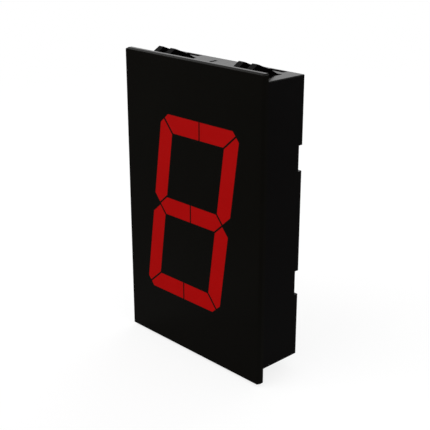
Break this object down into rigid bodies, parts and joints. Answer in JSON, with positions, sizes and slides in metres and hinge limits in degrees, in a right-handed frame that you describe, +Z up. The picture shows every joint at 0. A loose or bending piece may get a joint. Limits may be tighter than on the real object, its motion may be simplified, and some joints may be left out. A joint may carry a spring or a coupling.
{
  "type": "sixteen-segment display",
  "caption": "Panel display with a bevelled black bezel, a slanted segmented character whose frame and middle bar are lit red, and sprung snap tongues on a shallow black case.",
  "frame": {"origin": "centre of the bezel's rear face, in the plane that lies against the panel", "axes": "+X to the right as seen from the front, +Y rearwards through the panel, +Z up"},
  "size_m": [0.06, 0.0198, 0.0974],
  "materials": {
    "bezel": "moulded gloss",
    "case": "moulded gloss",
    "cover": "fine moulded grain",
    "lit_lens": "diffusing red resin",
    "unlit_lens": "dark diffusing resin",
    "white_plastic": "white reflecting plastic",
    "board": "solder resist",
    "emitter": "clear resin over phosphor",
    "package": "moulded epoxy",
    "capacitor": "moulded epoxy",
    "ferrite": "pressed ferrite",
    "tinned_pin": "tinned",
    "contact": "plated",
    "screw": "zinc plated",
    "socket": "moulded"
  },
  "bodies": {
    "root": {"bezel": "bezel", "case": "case", "rear_cover": "cover", "socket_upper": "socket", "socket_lower": "socket", "reflector_block": "white_plastic", "display_board": "board", "light_chips": "emitter", "segment_driver_upper": "package", "segment_driver_lower": "package", "resistor_arrays": "package", "control_board": "board", "controller": "package", "supply_capacitor": "capacitor", "supply_inductor": "ferrite", "bridge_strip_upper": "package", "bridge_strip_lower": "package", "bridge_pins": "tinned_pin", "socket_contacts_upper": "contact", "socket_contacts_lower": "contact", "board_screws": "screw", "segment_a1": "lit_lens", "segment_a2": "lit_lens", "segment_b": "lit_lens", "segment_c": "lit_lens", "segment_d1": "lit_lens", "segment_d2": "lit_lens", "segment_e": "lit_lens", "segment_f": "lit_lens", "segment_g1": "lit_lens", "segment_g2": "lit_lens", "segment_h": "unlit_lens", "segment_i": "unlit_lens", "segment_j": "unlit_lens", "segment_k": "unlit_lens", "segment_l": "unlit_lens", "segment_m": "unlit_lens"}
  },
  "joints": []
}
